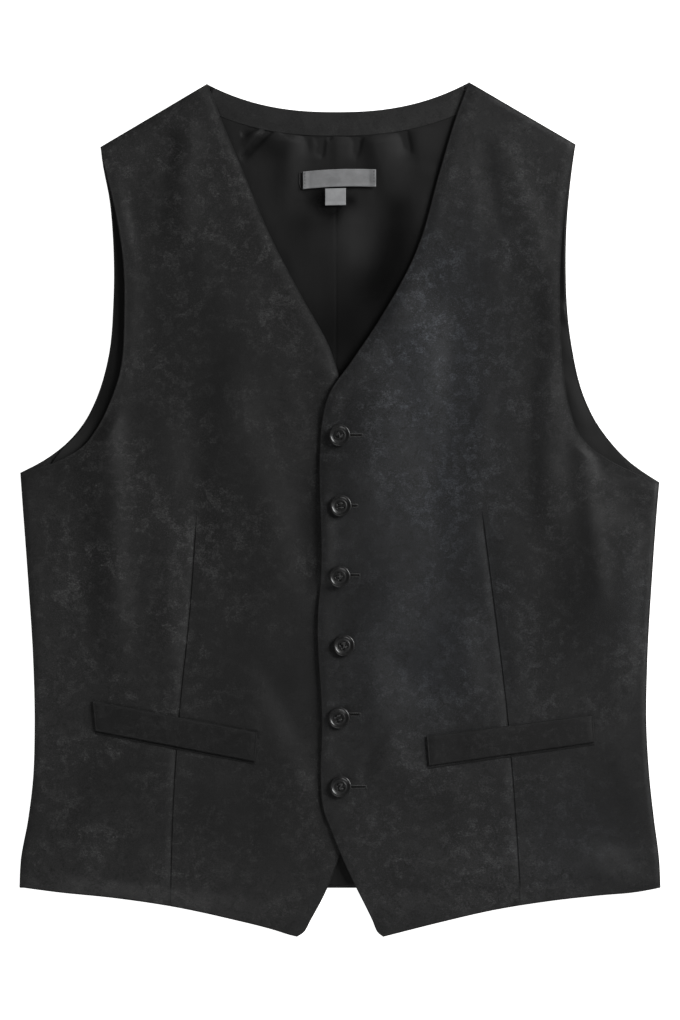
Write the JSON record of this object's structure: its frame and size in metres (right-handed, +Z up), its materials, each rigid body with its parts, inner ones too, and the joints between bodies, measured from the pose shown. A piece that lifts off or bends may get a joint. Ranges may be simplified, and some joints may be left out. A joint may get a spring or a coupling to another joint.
{
  "type": "waistcoat",
  "caption": "Single-breasted V-neck waistcoat with buttoned overlapping fronts, slanted welt pockets, pointed hem and a lined back, laid flat on its back.",
  "frame": {"origin": "the middle of the garment's width and length, on the surface it lies on", "axes": "+Y towards the shoulders, +Z up out of the fronts, +X towards the wearer's left"},
  "size_m": [0.4804, 0.6407, 0.0123],
  "materials": {
    "suiting": "black tonal mottled jacquard suiting, matte with a slight sheen",
    "lining": "smooth black satin lining",
    "button": "black four-hole resin button, slightly glossy",
    "label": "bare grey woven satin ribbon"
  },
  "bodies": {
    "root": {"front_right": "suiting", "front_left": "suiting", "back_right": "suiting", "back_left": "suiting", "back_lining": "lining", "neck_facing": "suiting", "neck_label": "label", "size_tab": "label", "welt_right": "suiting", "welt_left": "suiting", "button_1": "button", "button_2": "button", "button_3": "button", "button_4": "button", "button_5": "button", "button_6": "button"}
  },
  "joints": []
}
